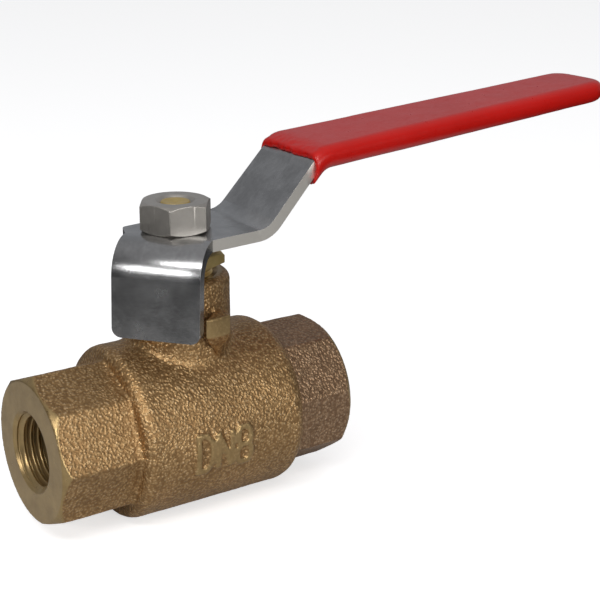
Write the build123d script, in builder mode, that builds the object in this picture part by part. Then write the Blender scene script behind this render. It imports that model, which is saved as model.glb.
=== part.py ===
from build123d import *

import os
from math import atan2, cos, radians, sin, tan

# A quarter-inch bronze ball valve with a lever handle, one solid for each real piece.
# Millimetres. The origin is the centre of the inlet face on the pipe axis, +X runs through
# the valve to the outlet, and +Z is up the stem. The lever lies along +X: the valve is open.

# ---- ends and pipe threads ----
face_to_face = 56.0
stem_x = face_to_face / 2
end_flats = 24.1                 # across the eight flats of each end
end_rim_r = 11.95                 # where the 45-degree chamfer meets the end face
outlet_turn = -12.6              # how far the screwed-in end stopped round from the inlet's flats
pipe_minor_r = 11.445 / 2        # parallel quarter-inch pipe thread
pipe_major_r = 13.157 / 2
pipe_pitch = 1.337
pipe_thread_depth = 12.0
mouth_r = 7.0
mouth_depth = 0.6
first_groove = 1.3
pipe_thread_turns = 8
pipe_groove_open = 0.36          # a share of the pitch: narrow, so that the crests read as one wall
pipe_groove_floor = 0.18

# ---- ball and flow way ----
ball_r = 9.5
flow_r = 5.0
port_edge_radius = 0.3
seat_clearance = 0.03
seat_r = 9.4
seat_back = 10.6                 # from the ball's centre
seat_front = 6.2
seat_pocket_r = 9.45
cavity_r = 10.0

# ---- barrel and the joint between body and end cap ----
barrel_r = 14.93
barrel_start = 13.8
barrel_end = 44.8
inlet_rim_radius = 1.8
outlet_rim_radius = 2.4
joint_x = stem_x + 8.0           # the shoulder that the body seal sits on
seal_thickness = 0.5
cap_thread_r = 12.5
cap_thread_pitch = 1.0
cap_thread_turns = 5
thread_depth = 0.55
thread_gap = 0.05
female_groove_open = 0.84        # widths of the small threads' grooves, as shares of the pitch
female_groove_floor = 0.24
male_groove_open = 0.80
male_groove_floor = 0.20

# ---- stem and its packing, heights above the pipe axis ----
shaft_r = 4.0
collar_r = 5.6
collar_bottom = 9.7
collar_top = 11.2
bearing_bottom = 11.22
bearing_top = 11.9
packing_bottom = 16.5
packing_top = 20.5
shaft_gap = 0.06
slot_floor = 6.4
slot_length = 7.4
slot_width = 3.2
tang_gap = 0.1

# ---- neck, stop lugs and gland nut ----
neck_r = 8.9
neck_top = 26.2
neck_round = 1.3
neck_mouth_depth = 1.4
gland_thread_r = 6.0
gland_pitch = 1.0
gland_hex_flats = 14.0
gland_hex_bottom = 27.7
gland_hex_top = 29.7
gland_hex_turn = 25.0
lug_r = 12.4
lug_bottom = 18.1
lug_root_z = 12.4                # where the lug's sloping underside meets the neck's wall
lug_top = 21.2
lug_span = 60.0                   # from the tab's azimuth line to the lug's far side, in degrees
lug_root_span = 77.0

# ---- lever, distances from the stem's axis ----
sheet = 2.0
lever_top = 33.5
lever_middle = lever_top - sheet / 2
first_bend_x = 13.25
second_bend_x = 24.07
second_bend_z = 43.8
grip_tilt = 4.2
arm_reach = 92.4
arm_tip_half_width = 6.1
grip_start_half_width = 7.72
head_near = (11.0, -8.5)          # a corner of the head's near edge, in plan
head_back = [(1.0, 8.1), (-3.2, 6.4), (-6.9, 5.9)]
head_back_radii = [10, 6, 1.2]
head_near_radius = 20
arm_start_radius = 60
arm_tip_radius = 3
sheet_half_span = 25              # more than the widest part of the lever
tab_azimuth = 220.0              # which way the stop tab faces when the valve is open
tab_half_width = 7.6
tab_offset = 0.55                 # how far the tab's middle lies to the left of its azimuth line
tab_lean = 4.0                    # the tab's foot stands out a little
tab_inner = 9.05                 # the tab's inside face, just clear of the neck
tab_bottom = 17.8
tab_bend_inside = 4.0
tab_fold = 5.0                   # the fold's start, from the stem's axis
tab_corner_radius = 1.6
arm_bend_inside = 4.2
tab_gap = 0.05
grip_wall = 1.05
grip_start_x = 22.5
grip_edge_radius = 1.9
grip_tip_radius = 4

# ---- raised size mark on the barrel's side: a plain nominal size, DN8 ----
mark_height = 6.4
letter_width = 2.6
letter_pitch = 3.7
mark_stroke = 0.95
mark_rise = 0.5
mark_middle_z = -0.8

# ---- lever nut and the stem's top ----
stem_top = 38.3
stem_thread_end = 36.9
top_chamfer = 0.15
top_dish_r = 1.9
top_dish_depth = 0.4
flats_half_width = 2.5
flatted_r = 3.5
stem_thread_r = 3.0
stem_thread_pitch = 1.0
nut_flats = 11.0
nut_height = 5.0
nut_chamfer_r = 5.42
nut_turn = 52.6
nut_countersink = 0.85

pipe_plane = Plane.XZ
stem_plane = Plane(origin=(stem_x, 0, 0), x_dir=(1, 0, 0), z_dir=(0, -1, 0))
stem_axis = Axis((stem_x, 0, 0), (0, 0, 1))
standing = (Align.CENTER, Align.CENTER, Align.MIN)


def outline(points):
    """One closed face through the points."""
    with BuildLine() as edge_line:
        Polyline(*points, close=True)
    make_face(edge_line.edges())


def thread_grooves(middle, pitch, turns, open_r, floor_r, open_share, floor_share, on_stem=False):
    """Ring grooves, one per thread turn, the first centred on `middle` along the axis."""
    for turn in range(turns):
        centre = middle + turn * pitch
        groove = [
            (centre - open_share * pitch / 2, open_r),
            (centre - floor_share * pitch / 2, floor_r),
            (centre + floor_share * pitch / 2, floor_r),
            (centre + open_share * pitch / 2, open_r),
        ]
        if on_stem:
            groove = [(radius, along) for along, radius in groove]
        outline(groove)


def female_grooves(middle, pitch, turns, crest_r, on_stem=False):
    """Grooves in a hole for a male thread whose ridges reach crest_r."""
    open_r = crest_r - thread_depth + thread_gap
    floor_r = crest_r + thread_gap
    thread_grooves(middle, pitch, turns, open_r, floor_r, female_groove_open, female_groove_floor, on_stem)


def male_grooves(middle, pitch, turns, crest_r, on_stem=False):
    """Grooves between the ridges of a male thread, starting half a turn before `middle`."""
    first = middle - pitch / 2
    floor_r = crest_r - thread_depth
    thread_grooves(first, pitch, turns + 1, crest_r, floor_r, male_groove_open, male_groove_floor, on_stem)


def pipe_grooves(first):
    """The pipe thread of one end, with flat crests at the minor radius."""
    thread_grooves(
        first,
        pipe_pitch,
        pipe_thread_turns,
        pipe_minor_r,
        pipe_major_r,
        pipe_groove_open,
        pipe_groove_floor,
    )


def beside(azimuth, along, across):
    """A point seen from the stem's axis: so far along a direction, and so far to its left."""
    turn = radians(azimuth)
    return (stem_x + along * cos(turn) - across * sin(turn), along * sin(turn) + across * cos(turn))


def lug_corners(azimuth, side):
    """A stop lug: a flat that the tab's edge meets, and a far side that widens towards the neck."""
    flat = tab_half_width + side * tab_offset + tab_gap
    outer = 1.3 * lug_r
    inner = neck_r - 1
    return [
        beside(azimuth + side * lug_root_span, inner, 0),
        beside(azimuth + side * lug_span, outer, 0),
        beside(azimuth + side * lug_span * 0.7, outer, 0),
        beside(azimuth, outer, side * flat),
        beside(azimuth, inner / 3, side * flat),
    ]


def mitred(path, distance):
    """The path moved sideways by a distance, with its corners mitred."""
    headings = [atan2(b[1] - a[1], b[0] - a[0]) for a, b in zip(path, path[1:])]
    moved = []
    for (x, z), turn_in, turn_out in zip(path, headings[:1] + headings, headings + headings[-1:]):
        heading = (turn_in + turn_out) / 2
        reach = distance / cos((turn_out - turn_in) / 2)
        moved.append((x - reach * sin(heading), z + reach * cos(heading)))
    return moved


def bent_sheet(path, thickness, upper_radii, lower_radii):
    """Side view of a bent sheet around its middle line."""
    upper = mitred(path, thickness / 2)
    lower = mitred(path, -thickness / 2)
    with BuildLine() as edge_line:
        FilletPolyline(*upper, radius=upper_radii)
        FilletPolyline(*lower, radius=lower_radii)
        Line(upper[0], lower[0])
        Line(upper[-1], lower[-1])
    make_face(edge_line.edges())


def lever_plan():
    """Plan of the lever's head and arm, closed along the line where the tab folds down."""
    corners = [
        beside(tab_azimuth, tab_fold, tab_offset + tab_half_width),
        beside(0, *head_near),
        beside(0, grip_start_x, -grip_start_half_width),
        beside(0, arm_reach, -arm_tip_half_width),
        beside(0, arm_reach, arm_tip_half_width),
        beside(0, grip_start_x, grip_start_half_width),
        *[beside(0, *corner) for corner in head_back],
        beside(tab_azimuth, tab_fold, tab_offset - tab_half_width),
    ]
    tip_and_start = [arm_start_radius, arm_tip_radius, arm_tip_radius, arm_start_radius]
    radii = [0, head_near_radius, *tip_and_start, *head_back_radii, 0]
    with BuildLine() as edge_line:
        FilletPolyline(*corners, radius=radii, close=True)
    make_face(edge_line.edges())


def letter(left, *strokes):
    """One raised letter drawn with straight strokes on a grid of its width and height."""
    for stroke in strokes:
        points = [(left + u * letter_width, mark_middle_z + (v - 0.5) * mark_height) for u, v in stroke]
        with BuildLine() as pen:
            Polyline(*points)
        trace(pen.line, line_width=mark_stroke)


# ---- the body casting ----
with BuildPart() as size_mark:
    with BuildSketch(pipe_plane):
        first_left = stem_x - 1.5 * letter_pitch + (letter_pitch - letter_width) / 2
        letter(first_left, [(0, 0), (0, 1), (0.6, 1), (1, 0.75), (1, 0.25), (0.6, 0), (-0.15, 0)])
        letter(first_left + letter_pitch, [(0, 0), (0, 1)], [(0, 1), (1, 0)], [(1, 0), (1, 1)])
        letter(
            first_left + 2 * letter_pitch,
            [(0.2, 0.52), (0, 0.4), (0, 0.12), (0.25, 0), (0.75, 0), (1, 0.12), (1, 0.4), (0.8, 0.52)],
            [(0.1, 0.52), (0.9, 0.52)],
            [(0.2, 0.52), (0.05, 0.64), (0.05, 0.88), (0.25, 1), (0.75, 1), (0.95, 0.88), (0.95, 0.64),
             (0.8, 0.52)],
        )
    extrude(amount=barrel_r + 2 * mark_rise)
    with Locations(Location((stem_x, 0, 0), (0, 90, 0))):
        Cylinder(barrel_r + mark_rise, face_to_face, mode=Mode.INTERSECT)

with BuildPart() as stop_lugs:
    with BuildSketch(Plane.XY.offset(lug_root_z)):
        outline(lug_corners(tab_azimuth, 1))
        outline(lug_corners(tab_azimuth - 90, -1))
    extrude(amount=lug_top - lug_root_z)
    with BuildSketch(pipe_plane):
        outline([
            (stem_x, lug_root_z - 1),
            (stem_x + neck_r - 1, lug_root_z - 1),
            (stem_x + neck_r, lug_root_z),
            (stem_x + lug_r, lug_bottom),
            (stem_x + lug_r, lug_top + 1),
            (stem_x, lug_top + 1),
        ])
    revolve(axis=stem_axis, mode=Mode.INTERSECT)

with BuildPart() as body:
    with BuildSketch(Plane.YZ):
        RegularPolygon(radius=end_flats / 2, side_count=8, major_radius=False)
    extrude(amount=barrel_start + 1)
    with BuildSketch(pipe_plane):
        outline([(-1, end_rim_r - 1), (-1, end_rim_r + 5), (4, end_rim_r + 4)])
    revolve(axis=Axis.X, mode=Mode.SUBTRACT)
    with BuildSketch(pipe_plane):
        with BuildLine():
            FilletPolyline(
                (barrel_start, 0),
                (barrel_start, barrel_r),
                (barrel_end, barrel_r),
                (barrel_end, 0),
                radius=[0, inlet_rim_radius, outlet_rim_radius, 0],
                close=True,
            )
        make_face()
    revolve(axis=Axis.X)
    with BuildSketch(Plane.XY.offset(barrel_r / 2)):
        with Locations((stem_x, 0)):
            Circle(neck_r)
    extrude(amount=neck_top - barrel_r / 2)
    fillet(body.edges().filter_by(GeomType.CIRCLE).group_by(Axis.Z)[-1], neck_round)
    add(stop_lugs.part)
    add(size_mark.part)
    # flow way, ball cavity and the bore for the end cap
    with BuildSketch(pipe_plane):
        outline([
            (-1, 0),
            (-1, mouth_r),
            (0, mouth_r),
            (mouth_depth, pipe_minor_r),
            (pipe_thread_depth, pipe_minor_r),
            (pipe_thread_depth + pipe_minor_r - flow_r, flow_r),
            (stem_x - seat_back, flow_r),
            (stem_x - seat_back, seat_pocket_r),
            (stem_x - seat_front, seat_pocket_r),
            (stem_x - seat_front, cavity_r),
            (joint_x, cavity_r),
            (joint_x, cap_thread_r - thread_depth + thread_gap),
            (barrel_end + 1, cap_thread_r - thread_depth + thread_gap),
            (barrel_end + 1, 0),
        ])
        pipe_grooves(first_groove)
        female_grooves(joint_x + 1.0, cap_thread_pitch, cap_thread_turns, cap_thread_r)
    revolve(axis=Axis.X, mode=Mode.SUBTRACT)
    # stem hole, bearing seat, packing chamber and gland thread
    with BuildSketch(stem_plane):
        gland_minor = gland_thread_r - thread_depth + thread_gap
        outline([
            (0, 0),
            (collar_r + 0.1, 0),
            (collar_r + 0.1, bearing_top),
            (shaft_r + shaft_gap, bearing_top),
            (shaft_r + shaft_gap, packing_bottom),
            (gland_minor, packing_bottom),
            (gland_minor, neck_top - neck_mouth_depth),
            (gland_minor + neck_mouth_depth + 1, neck_top + 1),
            (0, neck_top + 1),
        ])
        female_grooves(packing_top + 0.6, gland_pitch, 5, gland_thread_r, on_stem=True)
    revolve(axis=stem_axis, mode=Mode.SUBTRACT)

# ---- the end cap screwed into the outlet side ----
with BuildPart() as end_cap:
    with BuildSketch(Plane.YZ.offset(barrel_end)):
        RegularPolygon(radius=end_flats / 2, side_count=8, major_radius=False, rotation=outlet_turn)
    extrude(amount=face_to_face - barrel_end)
    with BuildSketch(pipe_plane):
        outline([
            (face_to_face + 1, end_rim_r - 1),
            (face_to_face + 1, end_rim_r + 5),
            (face_to_face - 4, end_rim_r + 4),
        ])
    revolve(axis=Axis.X, mode=Mode.SUBTRACT)
    with BuildSketch(Plane.YZ.offset(joint_x + seal_thickness)):
        Circle(cap_thread_r - thread_depth)
    extrude(amount=barrel_end - joint_x - seal_thickness)
    with BuildSketch(Plane.YZ.offset(joint_x + seal_thickness)):
        Circle(cap_thread_r)
    extrude(amount=cap_thread_turns * cap_thread_pitch)
    with BuildSketch(pipe_plane):
        male_grooves(joint_x + 1.0, cap_thread_pitch, cap_thread_turns, cap_thread_r)
    revolve(axis=Axis.X, mode=Mode.SUBTRACT)
    with BuildSketch(pipe_plane):
        outline([
            (joint_x, 0),
            (joint_x, seat_pocket_r),
            (stem_x + seat_back, seat_pocket_r),
            (stem_x + seat_back, flow_r),
            (face_to_face - pipe_thread_depth - pipe_minor_r + flow_r, flow_r),
            (face_to_face - pipe_thread_depth, pipe_minor_r),
            (face_to_face - mouth_depth, pipe_minor_r),
            (face_to_face, mouth_r),
            (face_to_face + 1, mouth_r),
            (face_to_face + 1, 0),
        ])
        last_groove = face_to_face - first_groove - (pipe_thread_turns - 1) * pipe_pitch
        pipe_grooves(last_groove)
    revolve(axis=Axis.X, mode=Mode.SUBTRACT)

with BuildPart() as body_seal:
    with BuildSketch(Plane.YZ.offset(joint_x)):
        Circle(cap_thread_r - thread_depth)
        Circle(cavity_r + 0.1, mode=Mode.SUBTRACT)
    extrude(amount=seal_thickness)

# ---- ball and seats ----
with BuildPart() as ball:
    with BuildSketch(stem_plane) as ball_section:
        Circle(ball_r)
        Rectangle(3 * ball_r, 2 * ball_r, align=(Align.CENTER, Align.MAX), mode=Mode.SUBTRACT)
        Rectangle(3 * ball_r, flow_r, align=(Align.CENTER, Align.MIN), mode=Mode.SUBTRACT)
        fillet(ball_section.vertices(), port_edge_radius)
    revolve(axis=Axis.X)
    with Locations((stem_x, 0, slot_floor)):
        Box(slot_width, slot_length, ball_r, align=standing, mode=Mode.SUBTRACT)

with BuildPart() as inlet_seat:
    with BuildSketch(pipe_plane):
        outline([
            (stem_x - seat_back, flow_r + 0.05),
            (stem_x - seat_back, seat_r),
            (stem_x - seat_front, seat_r),
            (stem_x - seat_front, flow_r + 0.05),
        ])
    revolve(axis=Axis.X)
    with Locations((stem_x, 0, 0)):
        Sphere(ball_r + seat_clearance, mode=Mode.SUBTRACT)

with BuildPart() as outlet_seat:
    mirror(inlet_seat.part, about=Plane.YZ.offset(stem_x))

# ---- stem and what seals it ----
with BuildPart() as stem:
    stem_root_r = stem_thread_r - thread_depth
    with BuildSketch(stem_plane):
        outline([
            (0, collar_bottom),
            (collar_r - 0.4, collar_bottom),
            (collar_r, collar_bottom + 0.4),
            (collar_r, collar_top),
            (shaft_r, collar_top),
            (shaft_r, lever_top - sheet),
            (flatted_r, lever_top - sheet),
            (flatted_r, lever_top - 0.2),
            (stem_thread_r, lever_top - 0.2),
            (stem_thread_r, stem_thread_end),
            (stem_root_r, stem_thread_end + 0.5),
            (stem_root_r, stem_top - top_chamfer),
            (stem_root_r - top_chamfer, stem_top),
            (top_dish_r, stem_top),
            (0, stem_top - top_dish_depth),
        ])
    revolve(axis=stem_axis)
    with BuildSketch(stem_plane):
        male_grooves(lever_top + 0.5, stem_thread_pitch, 3, stem_thread_r, on_stem=True)
    revolve(axis=stem_axis, mode=Mode.SUBTRACT)
    for side in (-1, 1):
        with Locations((stem_x, side * (flats_half_width + shaft_r / 2), lever_top - sheet)):
            Box(3 * shaft_r, shaft_r, sheet - 0.2, align=standing, mode=Mode.SUBTRACT)
    tang = (slot_width - 2 * tang_gap, slot_length - 2 * tang_gap, collar_bottom - slot_floor)
    with Locations((stem_x, 0, slot_floor + tang_gap)):
        Box(*tang, align=standing)

with BuildPart() as stem_bearing:
    with BuildSketch(Plane.XY.offset(bearing_bottom)):
        with Locations((stem_x, 0)):
            Circle(collar_r)
            Circle(shaft_r + shaft_gap, mode=Mode.SUBTRACT)
    extrude(amount=bearing_top - bearing_bottom)

with BuildPart() as stem_packing:
    with BuildSketch(Plane.XY.offset(packing_bottom)):
        with Locations((stem_x, 0)):
            Circle(gland_thread_r - thread_depth)
            Circle(shaft_r + 0.02, mode=Mode.SUBTRACT)
    extrude(amount=packing_top - packing_bottom)


def chamfered_hexagon(flats, chamfer_circle, bottom, top, turn, both_ends):
    """A hexagon whose corners are turned off along a cone at its top, or at both ends."""
    with BuildSketch(Plane.XY.offset(bottom)) as hexagon:
        with Locations((stem_x, 0)):
            RegularPolygon(radius=flats / 2, side_count=6, major_radius=False, rotation=turn)
    extrude(hexagon.sketch, amount=top - bottom)
    outside = chamfer_circle + 2
    drop = 2 * tan(radians(30))
    with BuildSketch(stem_plane) as corner:
        outline([(chamfer_circle, top), (outside, top - drop), (outside, top)])
        if both_ends:
            outline([(chamfer_circle, bottom), (outside, bottom + drop), (outside, bottom)])
    revolve(corner.sketch, axis=stem_axis, mode=Mode.SUBTRACT)


with BuildPart() as gland_nut:
    chamfer_r = gland_hex_flats / 2 - 0.1
    chamfered_hexagon(gland_hex_flats, chamfer_r, gland_hex_bottom, gland_hex_top, gland_hex_turn, False)
    with BuildSketch(Plane.XY.offset(packing_top)):
        with Locations((stem_x, 0)):
            Circle(gland_thread_r)
    extrude(amount=gland_hex_bottom - packing_top)
    with BuildSketch(stem_plane):
        male_grooves(packing_top + 0.6, gland_pitch, 6, gland_thread_r, on_stem=True)
    revolve(axis=stem_axis, mode=Mode.SUBTRACT)
    with BuildSketch(Plane.XY.offset(packing_top)):
        with Locations((stem_x, 0)):
            Circle(shaft_r + 0.08)
    extrude(amount=gland_hex_top - packing_top, mode=Mode.SUBTRACT)

# ---- lever with its stop tab, its dipped grip and its nut ----
arm_path = [
    (stem_x - 12, lever_middle),
    (stem_x + first_bend_x, lever_middle),
    (stem_x + second_bend_x, second_bend_z),
    (stem_x + arm_reach + 5, second_bend_z + (arm_reach + 5 - second_bend_x) * tan(radians(grip_tilt))),
]
tab_plane = Plane(
    origin=(*beside(tab_azimuth, 0, tab_offset), 0),
    x_dir=(cos(radians(tab_azimuth)), sin(radians(tab_azimuth)), 0),
    z_dir=(sin(radians(tab_azimuth)), -cos(radians(tab_azimuth)), 0),
)
tab_foot_edges = Axis((stem_x, 0, 0), (*tuple(tab_plane.x_dir)[:2], tan(radians(tab_lean))))

with BuildPart() as lever:
    with BuildSketch(pipe_plane):
        outside = arm_bend_inside + sheet
        bent_sheet(arm_path, sheet, [arm_bend_inside, outside], [outside, arm_bend_inside])
    extrude(amount=sheet_half_span, both=True)
    with BuildSketch(Plane.XY):
        lever_plan()
    extrude(amount=2 * second_bend_z, mode=Mode.INTERSECT)
    with BuildSketch(tab_plane):
        tab_middle = tab_inner + sheet / 2
        tab_foot = tab_middle + (lever_middle - tab_bottom) * tan(radians(tab_lean))
        tab_path = [(0, lever_middle), (tab_middle, lever_middle), (tab_foot, tab_bottom)]
        bent_sheet(tab_path, sheet, [tab_bend_inside + sheet], [tab_bend_inside])
    extrude(amount=tab_half_width, both=True)
    fillet(lever.edges().filter_by(tab_foot_edges).group_by(Axis.Z)[0], tab_corner_radius)
    with BuildSketch(Plane.XY.offset(lever_middle - sheet)):
        with Locations((stem_x, 0)):
            Circle(flatted_r + 0.05)
            Rectangle(4 * flatted_r, 2 * flats_half_width + 0.1, mode=Mode.INTERSECT)
    extrude(amount=2 * sheet, mode=Mode.SUBTRACT)

def is_rounded(edge):
    """True for the grip's long edges and its tip's, and not for its open end or the tip's upright edges."""
    box = edge.bounding_box()
    at_tip = box.min.X > stem_x + arm_reach + grip_wall - 0.1
    return (box.size.X > 0.5 or at_tip) and (box.size.Z < 4 or edge.length > 10)


with BuildPart() as lever_grip:
    with BuildSketch(pipe_plane):
        inside = arm_bend_inside - grip_wall
        outside = arm_bend_inside + sheet + grip_wall
        bent_sheet(arm_path, sheet + 2 * grip_wall, [inside, outside], [outside, inside])
    extrude(amount=sheet_half_span, both=True)
    with BuildSketch(Plane.XY):
        half_start = grip_start_half_width + grip_wall
        half_tip = arm_tip_half_width + grip_wall
        grip_tip_x = stem_x + arm_reach + grip_wall
        with BuildLine() as plan:
            FilletPolyline(
                (stem_x + grip_start_x, -half_start),
                (grip_tip_x, -half_tip),
                (grip_tip_x, half_tip),
                (stem_x + grip_start_x, half_start),
                radius=[0, grip_tip_radius, grip_tip_radius, 0],
                close=True,
            )
        make_face(plan.edges())
    extrude(amount=2 * second_bend_z, mode=Mode.INTERSECT)
    fillet([edge for edge in lever_grip.edges() if is_rounded(edge)], grip_edge_radius)
    add(lever.part, mode=Mode.SUBTRACT)

with BuildPart() as lever_nut:
    nut_top = lever_top + nut_height
    chamfered_hexagon(nut_flats, nut_chamfer_r, lever_top, nut_top, nut_turn, True)
    nut_minor = stem_thread_r - thread_depth + thread_gap
    with BuildSketch(stem_plane):
        outline([
            (0, lever_top - 1),
            (nut_minor, lever_top - 1),
            (nut_minor, nut_top - nut_countersink),
            (nut_minor + nut_countersink, nut_top),
            (nut_minor + nut_countersink, nut_top + 1),
            (0, nut_top + 1),
        ])
        female_grooves(lever_top + 0.5, stem_thread_pitch, 4, stem_thread_r, on_stem=True)
    revolve(axis=stem_axis, mode=Mode.SUBTRACT)

pieces = {
    "body": body,
    "end_cap": end_cap,
    "body_seal": body_seal,
    "ball": ball,
    "inlet_seat": inlet_seat,
    "outlet_seat": outlet_seat,
    "stem": stem,
    "stem_bearing": stem_bearing,
    "stem_packing": stem_packing,
    "gland_nut": gland_nut,
    "lever": lever,
    "lever_grip": lever_grip,
    "lever_nut": lever_nut,
}

os.makedirs("parts", exist_ok=True)
for name, piece in pieces.items():
    piece.part.label = name
    export_step(piece.part, f"parts/{name}.step")
    print(name, len(piece.part.solids()), round(piece.part.volume, 2))
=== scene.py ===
import math

import bmesh
import bpy
import numpy as np
from mathutils import Matrix, Vector, noise


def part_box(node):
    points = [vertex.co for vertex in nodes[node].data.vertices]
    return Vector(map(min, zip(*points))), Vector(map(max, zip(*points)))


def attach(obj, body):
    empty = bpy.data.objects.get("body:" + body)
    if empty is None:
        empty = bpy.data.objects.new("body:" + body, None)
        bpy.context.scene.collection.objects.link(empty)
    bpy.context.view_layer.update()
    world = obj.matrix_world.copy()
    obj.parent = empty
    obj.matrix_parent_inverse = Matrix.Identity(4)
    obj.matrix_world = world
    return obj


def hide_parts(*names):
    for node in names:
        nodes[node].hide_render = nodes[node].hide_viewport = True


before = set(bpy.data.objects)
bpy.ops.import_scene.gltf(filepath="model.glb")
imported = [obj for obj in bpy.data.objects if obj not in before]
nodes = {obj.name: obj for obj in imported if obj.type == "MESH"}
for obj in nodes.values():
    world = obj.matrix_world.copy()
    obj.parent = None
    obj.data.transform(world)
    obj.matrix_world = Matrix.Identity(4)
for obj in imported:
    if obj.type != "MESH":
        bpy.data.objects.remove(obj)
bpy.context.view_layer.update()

MM = 0.001

# ---- the pipe thread in each end ----
thread_minor_r = 5.7225 * MM
thread_major_r = 6.5785 * MM
thread_pitch = 1.337 * MM
thread_end = 12.0 * MM
mouth_r = 7.0 * MM
mouth_depth = 0.6 * MM
sleeve_r = 7.6 * MM
sleeve_steps = 96
end_rim_r = 11.95 * MM            # where the end chamfer meets the end face

# ---- where the body casting was machined, and where its neck meets the barrel ----
neck_bore_r = 7.4 * MM            # the neck's bore and threads lie inside this
joint_bore_r = 12.7 * MM          # the end cap's thread and the ball's cavity lie inside this
joint_bore_start = 16 * MM
lug_face_r = 11.9 * MM
lug_face_low = 17.7 * MM
below_neck = 8 * MM
neck_foot_r = 9.5 * MM

# ---- sizes read from the frame ----
body_low, body_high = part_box("body")
cap_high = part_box("end_cap")[1]
neck_low, neck_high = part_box("gland_nut")
grip_low, grip_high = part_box("lever_grip")
stem_x = (neck_low.x + neck_high.x) / 2
barrel_r = -body_low.z
barrel_end = body_high.x
cap_end = cap_high.x


# ---------------------------------------------------------------- materials
def node_adder(tree):
    """A helper that adds a node to a tree: inputs are values or the sockets to link from."""
    def add(kind, inputs=None, **settings):
        node = tree.nodes.new(kind)
        for key, value in settings.items():
            setattr(node, key, value)
        for key, value in (inputs or {}).items():
            if isinstance(value, bpy.types.NodeSocket):
                tree.links.new(value, node.inputs[key])
            else:
                node.inputs[key].default_value = value
        return node

    return add


def new_material(name):
    """An empty node material, its shader, and the helpers that add nodes and links to it."""
    material = bpy.data.materials.new(name)
    material.use_nodes = True
    tree = material.node_tree
    return material, tree.nodes["Principled BSDF"], node_adder(tree), tree.links.new


def ramp(add, factor, *stops):
    """A colour ramp through (position, colour) stops."""
    node = add("ShaderNodeValToRGB", {"Fac": factor})
    elements = node.color_ramp.elements
    while len(elements) < len(stops):
        elements.new(0.5)
    for element, (position, colour) in zip(elements, stops):
        element.position = position
        element.color = (*colour, 1.0) if len(colour) == 3 else colour
    return node.outputs["Color"]


def grey(value):
    return (value, value, value)


def position_of(add):
    return add("ShaderNodeTexCoord").outputs["Object"]


def noise_of(add, at, scale, detail=4.0, roughness=0.6, distortion=0.0):
    inputs = {
        "Vector": at,
        "Scale": scale,
        "Detail": detail,
        "Roughness": roughness,
        "Distortion": distortion,
    }
    return add("ShaderNodeTexNoise", inputs).outputs["Fac"]


def bump(add, height, strength, distance, normal=None):
    inputs = {"Height": height, "Strength": strength, "Distance": distance}
    if normal is not None:
        inputs["Normal"] = normal
    return add("ShaderNodeBump", inputs).outputs["Normal"]


def mix_colour(add, factor, a, b, blend="MIX"):
    node = add("ShaderNodeMix", data_type="RGBA", blend_type=blend)
    for socket, value in ((node.inputs[0], factor), (node.inputs[6], a), (node.inputs[7], b)):
        if isinstance(value, bpy.types.NodeSocket):
            node.id_data.links.new(value, socket)
        else:
            socket.default_value = value if isinstance(value, (int, float)) else (*value, 1.0)
    return node.outputs[2]


def cast_bronze(name, tint):
    """Sand-cast bronze: brown oxide in the hollows between the grains, rubbed metal on their tops, and a
    painted glint, a pale painted highlight, on the highest grain tops.
    """
    material, shader, add, link = new_material(name)
    at = position_of(add)
    bent = add("ShaderNodeTexNoise", {"Vector": at, "Scale": 1100.0, "Detail": 2.0}).outputs["Color"]
    shifted = add("ShaderNodeVectorMath", {0: bent, 1: (0.0004, 0.0004, 0.0004)}, operation="MULTIPLY")
    grain_at = add("ShaderNodeVectorMath", {0: at, 1: shifted.outputs[0]}, operation="ADD").outputs[0]
    cells = {"Vector": grain_at, "Scale": 2100.0, "Randomness": 1.0, "Smoothness": 0.6}
    distance = add("ShaderNodeTexVoronoi", cells, feature="SMOOTH_F1").outputs["Distance"]
    fine = noise_of(add, at, 3200.0, 3.0, 0.65)
    medium = noise_of(add, at, 1300.0, 3.0, 0.6)
    clouds = noise_of(add, at, 130.0, 4.0, 0.6)
    grains = ramp(add, distance, (0.10, grey(1.0)), (0.62, grey(0.0)))
    height = mix_colour(add, 0.45, grains, medium)
    height = mix_colour(add, 0.22, height, fine)
    machined = add("ShaderNodeAttribute", attribute_name="machined").outputs["Fac"]
    dark, mid, bright, painted_glint = tint
    # the last tint colour is a painted glint: a pale painted highlight laid on the highest grain tops
    skin = ramp(add, height, (0.25, dark), (0.45, mid), (0.62, bright), (0.80, painted_glint))
    tone = ramp(add, clouds, (0.35, grey(0.82)), (0.65, grey(1.0)))
    skin = mix_colour(add, 1.0, skin, tone, "MULTIPLY")
    cut_tone = noise_of(add, at, 260.0, 4.0, 0.6)
    cut = ramp(add, cut_tone, (0.3, (0.33, 0.225, 0.100)), (0.7, (0.45, 0.32, 0.145)))
    link(mix_colour(add, machined, skin, cut), shader.inputs["Base Color"])
    shader.inputs["Metallic"].default_value = 0.8
    rough = ramp(add, medium, (0.3, grey(0.34)), (0.7, grey(0.50)))
    rough_cut = ramp(add, medium, (0.3, grey(0.27)), (0.7, grey(0.37)))
    link(mix_colour(add, machined, rough, rough_cut), shader.inputs["Roughness"])
    lathe = add("ShaderNodeTexWave", {"Vector": at, "Scale": 700.0, "Distortion": 1.5, "Detail": 2.0},
                wave_type="RINGS", rings_direction="X").outputs["Fac"]
    cut_height = mix_colour(add, 0.7, lathe, fine)
    pebbled = bump(add, height, 1.0, 0.22 * MM)
    turned = bump(add, cut_height, 0.10, 0.05 * MM)
    blend = add("ShaderNodeMix", {"Factor": machined}, data_type="VECTOR")
    link(pebbled, blend.inputs[4])
    link(turned, blend.inputs[5])
    link(blend.outputs[1], shader.inputs["Normal"])
    return material


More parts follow.
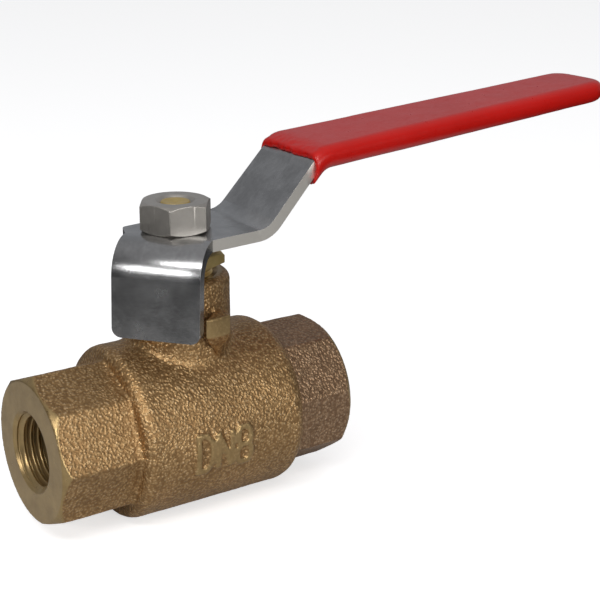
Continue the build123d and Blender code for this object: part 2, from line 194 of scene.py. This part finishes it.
def turned_metal(name, low, high, roughness, grain=900.0, metallic=1.0, strength=0.05):
    """Machined bar stock: fine turning marks, a slight change of tone and an uneven sheen."""
    material, shader, add, link = new_material(name)
    at = position_of(add)
    tone = noise_of(add, at, 260.0, 5.0, 0.65)
    fine = noise_of(add, at, 3000.0, 2.0, 0.6)
    link(ramp(add, tone, (0.3, low), (0.72, high)), shader.inputs["Base Color"])
    shader.inputs["Metallic"].default_value = metallic
    rough = ramp(add, fine, (0.3, grey(roughness * 0.92)), (0.7, grey(roughness * 1.1)))
    link(rough, shader.inputs["Roughness"])
    marks = add("ShaderNodeTexWave", {"Vector": at, "Scale": grain, "Distortion": 2.0, "Detail": 2.0},
                wave_type="RINGS", rings_direction="Z").outputs["Fac"]
    link(bump(add, mix_colour(add, 0.5, marks, fine), strength, 0.05 * MM), shader.inputs["Normal"])
    return material


def plated_steel(name):
    """Zinc-plated sheet: mottled grain, soft waviness from the press, and rougher cut edges; faces turned
    along Y are painted paler as painted light.
    """
    material, shader, add, link = new_material(name)
    at = position_of(add)
    mottle = noise_of(add, at, 1500.0, 2.0, 0.5)
    stains = noise_of(add, at, 190.0, 5.0, 0.6, 0.4)
    brushed_at = add("ShaderNodeMapping", {"Vector": at, "Scale": (0.08, 1.0, 1.0)}).outputs["Vector"]
    brushed = noise_of(add, brushed_at, 3600.0, 3.0, 0.6)
    tone = ramp(add, mottle, (0.2, (0.42, 0.42, 0.42)), (0.8, (0.50, 0.50, 0.50)))
    stain = ramp(add, stains, (0.40, (0.72, 0.72, 0.72)), (0.6, (1.0, 1.0, 1.0)))
    face = mix_colour(add, 0.7, tone, stain, "MULTIPLY")
    normal = add("ShaderNodeSeparateXYZ", {"Vector": add("ShaderNodeTexCoord").outputs["Normal"]})
    sideways = add("ShaderNodeMath", {0: normal.outputs["Y"]}, operation="ABSOLUTE").outputs[0]
    # painted light: faces turned along Y, mostly the cut edges and partly the tab's sides, get a paler
    # painted colour that stands in for the light they catch, and more roughness
    sheared_edge_and_painted_light = ramp(add, sideways, (0.80, grey(0.0)), (0.90, grey(1.0)))
    link(mix_colour(add, sheared_edge_and_painted_light, face, (0.80, 0.77, 0.71)), shader.inputs["Base Color"])
    shader.inputs["Metallic"].default_value = 1.0
    rough = ramp(add, stains, (0.3, grey(0.22)), (0.7, grey(0.28)))
    link(mix_colour(add, sheared_edge_and_painted_light, rough, grey(0.52)), shader.inputs["Roughness"])
    height = mix_colour(add, 0.6, brushed, mottle)
    first = bump(add, height, 0.30, 0.05 * MM)
    link(bump(add, noise_of(add, at, 160.0, 2.0, 0.5), 0.15, 0.20 * MM, first), shader.inputs["Normal"])
    return material


def red_vinyl(name):
    """Dipped vinyl: slightly rippled, with a change of tone and faint, duller rub marks."""
    material, shader, add, link = new_material(name)
    at = position_of(add)
    tone = noise_of(add, at, 90.0, 4.0, 0.6)
    marks = noise_of(add, at, 500.0, 6.0, 0.75, 1.5)
    base = ramp(add, tone, (0.3, (0.49, 0.005, 0.002)), (0.7, (0.55, 0.006, 0.003)))
    rubbed = ramp(add, marks, (0.60, grey(0.0)), (0.75, grey(0.35)))
    link(mix_colour(add, rubbed, base, (0.44, 0.03, 0.03)), shader.inputs["Base Color"])
    link(ramp(add, marks, (0.3, grey(0.26)), (0.75, grey(0.40))), shader.inputs["Roughness"])
    shader.inputs["IOR"].default_value = 1.5
    ripple = bump(add, noise_of(add, at, 110.0, 2.0, 0.5), 0.25, 0.4 * MM)
    link(bump(add, marks, 0.04, 0.05 * MM, ripple), shader.inputs["Normal"])
    return material


def soft_white(name):
    """Seal plastic, smooth and slightly waxy."""
    material, shader, add, link = new_material(name)
    at = position_of(add)
    link(ramp(add, noise_of(add, at, 300.0), (0.3, (0.78, 0.77, 0.74)), (0.7, (0.86, 0.85, 0.82))),
         shader.inputs["Base Color"])
    shader.inputs["Roughness"].default_value = 0.45
    link(bump(add, noise_of(add, at, 1500.0), 0.05, 0.05 * MM), shader.inputs["Normal"])
    return material


# each tint runs from oxide in the hollows through rubbed metal to a painted glint, a painted highlight, on
# the highest grain tops
bronze_tint = ((0.29, 0.165, 0.066), (0.43, 0.265, 0.115), (0.56, 0.365, 0.175), (0.86, 0.64, 0.40))
redder_tint = ((0.24, 0.140, 0.076), (0.35, 0.222, 0.125), (0.46, 0.300, 0.182), (0.68, 0.50, 0.35))
bronze = cast_bronze("cast_bronze", bronze_tint)
bronze_cap = cast_bronze("cast_bronze_end_cap", redder_tint)
brass = turned_metal("turned_brass", (0.66, 0.48, 0.17), (0.84, 0.65, 0.28), 0.40)
nickel = turned_metal("nickel_plating", (0.48, 0.45, 0.41), (0.60, 0.57, 0.52), 0.40)
chrome = turned_metal("plated_ball", (0.62, 0.62, 0.64), (0.78, 0.78, 0.80), 0.10)
steel = plated_steel("plated_steel")
vinyl = red_vinyl("red_vinyl")
seal = soft_white("seal_plastic")


def paint(piece, material):
    piece.data.materials.clear()
    piece.data.materials.append(material)


for name, material in {
    "body_seal": seal,
    "inlet_seat": seal,
    "outlet_seat": seal,
    "stem_bearing": seal,
    "stem_packing": seal,
    "ball": chrome,
    "stem": brass,
    "gland_nut": brass,
    "lever": steel,
    "lever_grip": vinyl,
    "lever_nut": nickel,
}.items():
    paint(nodes[name], material)


# ---------------------------------------------------------------- cast skins
def new_mesh(name, points, faces):
    mesh = bpy.data.meshes.new(name)
    mesh.from_pydata(points, [], faces)
    mesh.update()
    thing = bpy.data.objects.new(name, mesh)
    bpy.context.scene.collection.objects.link(thing)
    return thing


def copy_of(node, name):
    """A welded copy of a CAD node's mesh, as a new object."""
    mesh = nodes[node].data.copy()
    mesh.name = name
    piece = bpy.data.objects.new(name, mesh)
    bpy.context.scene.collection.objects.link(piece)
    shell = bmesh.new()
    shell.from_mesh(mesh)
    bmesh.ops.remove_doubles(shell, verts=shell.verts, dist=1e-6)
    shell.to_mesh(mesh)
    shell.free()
    if mesh.has_custom_normals:
        bpy.context.view_layer.objects.active = piece
        with bpy.context.temp_override(object=piece, active_object=piece):
            bpy.ops.mesh.customdata_custom_splitnormals_clear()
    return piece


def apply_modifiers(piece):
    """Bakes the piece's modifiers into its mesh."""
    depsgraph = bpy.context.evaluated_depsgraph_get()
    baked = bpy.data.meshes.new_from_object(piece.evaluated_get(depsgraph))
    old = piece.data
    piece.modifiers.clear()
    piece.data = baked
    bpy.data.meshes.remove(old)


def vertices_of(mesh):
    co = np.empty(len(mesh.vertices) * 3)
    mesh.vertices.foreach_get("co", co)
    return co.reshape(-1, 3)


def normals_of(mesh):
    normals = np.empty(len(mesh.vertices) * 3, np.float32)
    mesh.vertex_normals.foreach_get("vector", normals)
    return normals.reshape(-1, 3).astype(float)


def smooth_step(value, low, high):
    t = np.clip((value - low) / (high - low), 0, 1)
    return t * t * (3 - 2 * t)


def add_value(mesh, name, values):
    attribute = mesh.attributes.new(name, "FLOAT", "POINT")
    attribute.data.foreach_set("value", values.astype(np.float32))


def machined_share(at, name):
    """1 on turned and bored surfaces, 0 on the cast skin, and in between on the rubbed mark and lugs."""
    radius = np.hypot(at[:, 1], at[:, 2])
    stem_radius = np.hypot(at[:, 0] - stem_x, at[:, 1])
    from_end = at[:, 0] if name == "body" else cap_end - at[:, 0]
    end = 1 - smooth_step(from_end, 0.10 * MM, 0.30 * MM)
    off_cone = np.abs(radius - from_end - end_rim_r)
    chamfer = (1 - smooth_step(off_cone, 0.10 * MM, 0.22 * MM)) * (from_end < 1.6 * MM)
    pipe_bore = (radius < mouth_r + 0.1 * MM) * 1.0
    if name == "body":
        wide_bore = (radius < joint_bore_r) * (at[:, 0] > joint_bore_start) * (at[:, 2] < 14 * MM)
        back = smooth_step(at[:, 0], barrel_end - 0.10 * MM, barrel_end - 0.02 * MM)
        neck = (1 - smooth_step(stem_radius, neck_bore_r, neck_bore_r + 0.3 * MM)) * (at[:, 2] > 11 * MM)
        lug = smooth_step(stem_radius, lug_face_r, lug_face_r + 0.3 * MM)
        lug *= smooth_step(at[:, 2], lug_face_low, lug_face_low + 0.4 * MM)
        mark_top = smooth_step(radius, barrel_r + 0.22 * MM, barrel_r + 0.40 * MM) * (at[:, 2] < below_neck)
        cuts = [end, chamfer, pipe_bore, wide_bore, back, neck, 0.8 * lug, 0.7 * mark_top]
        return np.clip(np.maximum.reduce(cuts), 0, 1)
    insert = 1 - smooth_step(at[:, 0], barrel_end + 0.02 * MM, barrel_end + 0.1 * MM)
    return np.clip(np.maximum.reduce([end, chamfer, pipe_bore, insert]), 0, 1)


def lathe_ring(name, profile, steps):
    """A closed ring around the pipe axis from a closed (x, radius) outline."""
    points = []
    for step in range(steps):
        angle = 2 * math.pi * step / steps
        points += [(x, r * math.cos(angle), r * math.sin(angle)) for x, r in profile]
    count = len(profile)
    faces = []
    for step in range(steps):
        here, there = step * count, (step + 1) % steps * count
        for k in range(count):
            after = (k + 1) % count
            faces.append((here + k, here + after, there + after, there + k))
    return new_mesh(name, points, faces)


def plain_bore(piece, node):
    """Fills the piece's stand-in thread grooves, so that the thread can be cut as a helix."""
    low, high = mouth_depth, thread_end
    if node == "end_cap":
        low, high = cap_end - thread_end, cap_end - mouth_depth
    profile = [(low, thread_minor_r), (low, sleeve_r), (high, sleeve_r), (high, thread_minor_r)]
    sleeve = lathe_ring("sleeve", profile, sleeve_steps)
    both = bmesh.new()
    both.from_mesh(piece.data)
    both.from_mesh(sleeve.data)
    bmesh.ops.recalc_face_normals(both, faces=both.faces)
    both.to_mesh(piece.data)
    both.free()
    bpy.data.objects.remove(sleeve)


def cut_thread(piece, node):
    """Refines the plain bore's wall and moves it out to a countersunk helical thread.

    Known fault: the end cap's thread comes out left-hand and should be right-hand. Its distance is
    counted from the other end, and its turn isn't reversed to match.
    """
    grid = bmesh.new()
    grid.from_mesh(piece.data)

    def along(x):
        return x if node == "body" else cap_end - x

    def in_bore(point):
        radius = math.hypot(point.y, point.z)
        return 0.04 * MM < along(point.x) < thread_end and radius < mouth_r + 0.02 * MM

    edges = {edge for face in grid.faces if in_bore(face.calc_center_median()) for edge in face.edges}
    bmesh.ops.subdivide_edges(grid, edges=list(edges), cuts=2, use_grid_fill=True)
    for vert in grid.verts:
        if not in_bore(vert.co):
            continue
        place = along(vert.co.x)
        radius = math.hypot(vert.co.y, vert.co.z)
        turn = math.atan2(vert.co.z, vert.co.y) / (2 * math.pi)
        ridge = abs(2 * ((place / thread_pitch - turn) % 1.0) - 1)
        depth = min(1.0, max(0.0, (0.86 - ridge) / 0.62))
        stop = min(1.0, max(0.0, (thread_end - place) / (1.6 * MM)))
        threaded = thread_minor_r + (thread_major_r - thread_minor_r) * depth * stop
        wanted = max(threaded, mouth_r - place)
        vert.co.y *= wanted / radius
        vert.co.z *= wanted / radius
    grid.to_mesh(piece.data)
    grid.free()


def smoothed_by(at, edges, share, rounds):
    """Vertices moved towards their neighbours' middle, each by its own share."""
    links = np.bincount(edges.ravel(), minlength=len(at)).astype(float)[:, None]
    moved = at.copy()
    for _ in range(rounds):
        total = np.zeros_like(moved)
        for axis in range(3):
            total[:, axis] += np.bincount(edges[:, 0], weights=moved[edges[:, 1], axis], minlength=len(at))
            total[:, axis] += np.bincount(edges[:, 1], weights=moved[edges[:, 0], axis], minlength=len(at))
        moved += share[:, None] * 0.6 * (total / links - moved)
    return moved


def mesh_edges(mesh):
    edges = np.empty(len(mesh.edges) * 2, np.int64)
    mesh.edges.foreach_get("vertices", edges)
    return edges.reshape(-1, 2)


def cast_skin(node, name, material, voxel):
    """Rebuilds a casting with a fine even mesh, softens its cast edges and raises the sand's grain."""
    piece = copy_of(node, name)
    plain_bore(piece, node)
    remesh = piece.modifiers.new("remesh", "REMESH")
    remesh.mode = "VOXEL"
    remesh.voxel_size = voxel
    apply_modifiers(piece)
    cut_thread(piece, node)
    mesh = piece.data
    at = vertices_of(mesh)
    cast = 1 - machined_share(at, node)
    edges = mesh_edges(mesh)
    smoothed = smoothed_by(at, edges, cast, 2)
    if node == "body":
        stem_radius = np.hypot(at[:, 0] - stem_x, at[:, 1])
        foot = (1 - smooth_step(np.abs(stem_radius - neck_foot_r), 1.0 * MM, 3.5 * MM)) * cast
        foot *= smooth_step(at[:, 2], 6 * MM, 9 * MM) * (1 - smooth_step(at[:, 2], 15 * MM, 17 * MM))
        smoothed = smoothed_by(smoothed, edges, foot, 60)
    mesh.vertices.foreach_set("co", smoothed.ravel())
    mesh.update()
    normals = normals_of(mesh)
    relief = np.zeros(len(at))
    for index in np.nonzero(cast > 0.01)[0]:
        point = Vector(smoothed[index])
        cells = noise.voronoi(point * 1700.0)[0]
        pebble = 0.5 * (cells[1] - cells[0]) + 0.35 * noise.noise(point * 1300.0)
        waves = noise.noise(point * 330.0)
        relief[index] = 0.07 * pebble + 0.04 * waves + 0.10 * noise.noise(point * 110.0)
    moved = smoothed + normals * (relief * cast * MM)[:, None]
    mesh.vertices.foreach_set("co", moved.ravel())
    mesh.polygons.foreach_set("use_smooth", np.ones(len(mesh.polygons), bool))
    mesh.update()
    add_value(mesh, "machined", 1 - cast)
    paint(piece, material)
    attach(piece, "valve_body")
    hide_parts(node)


voxel = 0.24 * MM
cast_skin("body", "body_casting", bronze, voxel)
cast_skin("end_cap", "end_cap_casting", bronze_cap, voxel)


# ---------------------------------------------------------------- dipped grip
def dipped_grip():
    """The vinyl coat with a rounded, uneven lip and a slightly wavy skin."""
    piece = copy_of("lever_grip", "grip_coat")
    remesh = piece.modifiers.new("remesh", "REMESH")
    remesh.mode = "VOXEL"
    remesh.voxel_size = 0.24 * MM
    apply_modifiers(piece)
    mesh = piece.data
    at = vertices_of(mesh)
    lip = 1 - smooth_step(at[:, 0], grip_low.x + 1.2 * MM, grip_low.x + 7 * MM)
    ragged_share = 1 - smooth_step(at[:, 0], grip_low.x + 0.6 * MM, grip_low.x + 2.4 * MM)
    tip = smooth_step(at[:, 0], grip_high.x - 5 * MM, grip_high.x - 1 * MM)
    edges = mesh_edges(mesh)
    moved = smoothed_by(at, edges, 0.4 + 0.6 * lip, 5)
    moved = smoothed_by(moved, edges, tip, 28)
    mesh.vertices.foreach_set("co", moved.ravel())
    mesh.update()
    normals = normals_of(mesh)
    shift = np.zeros_like(at)
    for index, place in enumerate(moved):
        point = Vector(place)
        wave = 0.05 * noise.noise(point * 90.0) + 0.03 * noise.noise(point * 240.0)
        shift[index] = normals[index] * wave * MM
        if ragged_share[index] > 0:
            ragged = 0.22 * noise.noise(point * 900.0) + 0.25 * noise.noise(point * 260.0)
            shift[index] += np.array((0.62, 0.0, 0.78)) * ragged * ragged_share[index] * MM
    mesh.vertices.foreach_set("co", (moved + shift).ravel())
    mesh.polygons.foreach_set("use_smooth", np.ones(len(mesh.polygons), bool))
    mesh.update()
    paint(piece, vinyl)
    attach(piece, "lever_and_stem")
    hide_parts("lever_grip")


dipped_grip()


# ---------------------------------------------------------------- crisp steel and brass edges
def soften_edges(node, width, angle):
    """Rounds a CAD piece's sharp edges a little, so that they catch the light."""
    piece = nodes[node]
    weld = piece.modifiers.new("weld", "WELD")
    weld.merge_threshold = 1e-6
    bevel = piece.modifiers.new("bevel", "BEVEL")
    bevel.width = width
    bevel.segments = 2
    bevel.limit_method = "ANGLE"
    bevel.angle_limit = math.radians(angle)
    bevel.harden_normals = False


for node, width in (("lever", 0.22 * MM), ("lever_nut", 0.10 * MM), ("gland_nut", 0.08 * MM)):
    soften_edges(node, width, 35)


# ---------------------------------------------------------------- stage, light and camera
def aimed(thing, place, target):
    thing.location = place
    thing.rotation_euler = (Vector(target) - Vector(place)).to_track_quat("-Z", "Y").to_euler()


floor_material, floor_shader, floor_add, floor_link = new_material("pale_floor")
floor_shader.inputs["Roughness"].default_value = 0.9
# the camera sees a pale floor; the metal mirrors a pale sheet that ends in a dark table
floor_seen = floor_add("ShaderNodeLightPath").outputs["Is Camera Ray"]
floor_ends = {0: position_of(floor_add), 1: (stem_x, 0, 0)}
from_valve = floor_add("ShaderNodeVectorMath", floor_ends, operation="DISTANCE")
sheet = ramp(floor_add, from_valve.outputs["Value"], (0.11, grey(0.60)), (0.14, grey(0.02)))
floor_link(mix_colour(floor_add, floor_seen, sheet, grey(0.8)), floor_shader.inputs["Base Color"])
floor_glow = floor_add("ShaderNodeMath", {0: floor_seen, 1: 0.62}, operation="MULTIPLY").outputs[0]
floor_shader.inputs["Emission Color"].default_value = (1.0, 1.0, 1.0, 1.0)
floor_link(floor_glow, floor_shader.inputs["Emission Strength"])
floor_half = 3.0
floor_z = body_low.z - 0.1 * MM
floor = new_mesh(
    "floor",
    [(x * floor_half, y * floor_half, floor_z) for x, y in ((-1, -1), (1, -1), (1, 1), (-1, 1))],
    [(0, 1, 2, 3)],
)
paint(floor, floor_material)

view_yaw = math.radians(34.55)
behind = Vector((math.sin(view_yaw), math.cos(view_yaw), 0))
beside = Vector((math.cos(view_yaw), -math.sin(view_yaw), 0))
up_high = Vector((0, 0, 1))

world = bpy.data.worlds.new("studio")
bpy.context.scene.world = world
world.use_nodes = True
sky = world.node_tree

sky_node = node_adder(sky)

# reflections see a dim room in front, a grey backdrop behind and a pale ceiling; the camera sees white
direction = sky_node("ShaderNodeTexCoord").outputs["Generated"]
facing = sky_node("ShaderNodeVectorMath", {0: direction, 1: behind}, operation="DOT_PRODUCT").outputs["Value"]
rising = sky_node("ShaderNodeVectorMath", {0: direction, 1: up_high}, operation="DOT_PRODUCT")
height = rising.outputs["Value"]
room = ramp(sky_node, sky_node("ShaderNodeMapRange", {"Value": facing, "From Min": -1.0}).outputs["Result"],
            (0.30, (0.025, 0.026, 0.030)), (0.55, (0.16, 0.16, 0.165)), (0.85, (0.34, 0.35, 0.37)))
ceiling = ramp(sky_node, height, (0.45, grey(0.0)), (0.95, grey(1.0)))
room = mix_colour(sky_node, ceiling, room, (0.42, 0.42, 0.43))
seen = sky_node("ShaderNodeLightPath").outputs["Is Camera Ray"]
room = mix_colour(sky_node, seen, room, (1.0, 1.0, 1.0))
sky.links.new(room, sky.nodes["Background"].inputs["Color"])
sky.nodes["Background"].inputs["Strength"].default_value = 1.0


def area_light(name, place, target, size, power, colour=(1, 1, 1)):
    light = bpy.data.lights.new(name, "AREA")
    light.shape = "RECTANGLE"
    light.size, light.size_y = size
    light.energy = power
    light.color = colour
    lamp = bpy.data.objects.new(name, light)
    bpy.context.scene.collection.objects.link(lamp)
    aimed(lamp, place, target)


middle = Vector((stem_x, 0, 0.01))
area_light("main", middle - behind * 0.46 - beside * 0.04 + up_high * 0.50, middle, (0.60, 0.13), 1.9)
area_light("fill", middle - behind * 0.58 + beside * 0.40 + up_high * 0.17, middle, (0.60, 0.28), 2.0)
area_light("side", middle - behind * 0.42 - beside * 0.30 + up_high * 0.20, middle, (0.34, 0.07), 0.9)

view_drop = math.radians(18.4)
view_distance = 0.24535
sensor_width = 36.0
lens = 84.83
forward = Vector((
    math.sin(view_yaw) * math.cos(view_drop),
    math.cos(view_yaw) * math.cos(view_drop),
    -math.sin(view_drop),
))
right = forward.cross(up_high).normalized()
up = right.cross(forward)
aim = Vector((stem_x, 0, 0)) + right * 20.18 * MM + up * 19.83 * MM
camera_data = bpy.data.cameras.new("camera")
camera_data.lens = lens
camera_data.sensor_width = sensor_width
camera_data.shift_x = 0.005
camera_data.shift_y = 0.0022
camera_data.clip_start = 0.01
camera = bpy.data.objects.new("camera", camera_data)
bpy.context.scene.collection.objects.link(camera)
camera.location = aim - forward * view_distance
roll = Matrix.Rotation(math.radians(0.34), 3, "Z")
camera.rotation_euler = (Matrix((right, up, -forward)).transposed() @ roll).to_euler()
bpy.context.scene.camera = camera
bpy.context.scene.view_settings.view_transform = "Standard"
